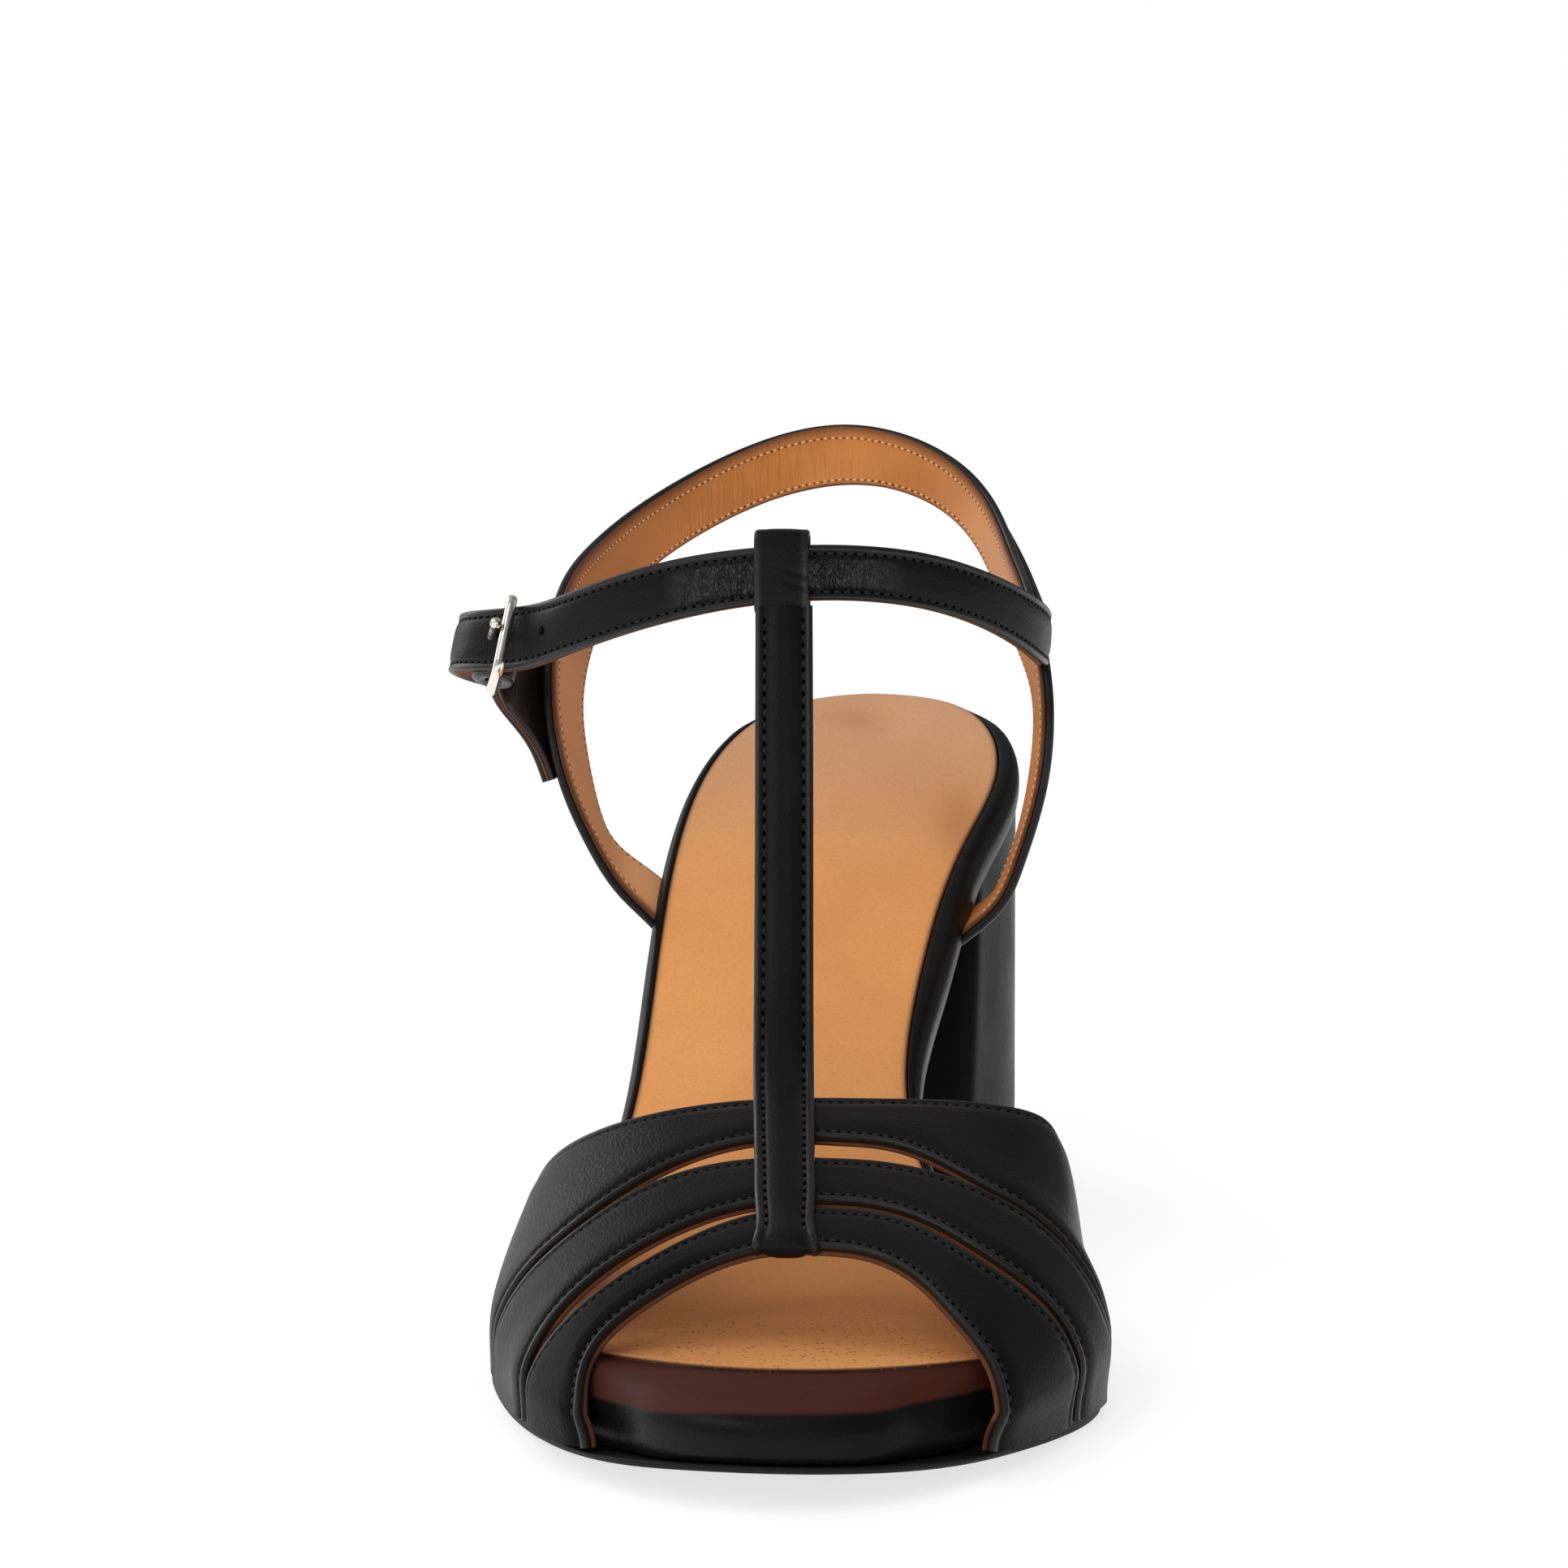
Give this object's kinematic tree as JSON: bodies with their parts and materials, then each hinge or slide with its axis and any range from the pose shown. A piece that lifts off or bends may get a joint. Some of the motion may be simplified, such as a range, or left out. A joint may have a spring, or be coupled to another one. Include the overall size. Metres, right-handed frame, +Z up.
{
  "type": "heeled sandal",
  "caption": "Heeled T-bar sandal for the right foot: fanned toe straps, ankle strap with a side buckle, strap round the heel, tan insole and a wrapped block heel.",
  "frame": {"origin": "on the floor, under the middle of the sandal's box", "axes": "+X to the inner side of the right foot, +Y from toe to heel, +Z up"},
  "size_m": [0.1052, 0.2242, 0.1306],
  "materials": {
    "black_leather": "smooth, satin",
    "tan_leather": "smooth, matt",
    "black_rubber": "matt",
    "bright_metal": "polished"
  },
  "bodies": {
    "root": {"outsole": "black_rubber", "footbed": "black_leather", "insole_sock": "tan_leather", "heel": "black_leather", "heel_lift": "black_rubber", "upper_front": "black_leather", "upper_rear": "black_leather", "buckle_frame": "bright_metal", "buckle_prong": "bright_metal", "buckle_tab": "black_leather"}
  },
  "joints": []
}
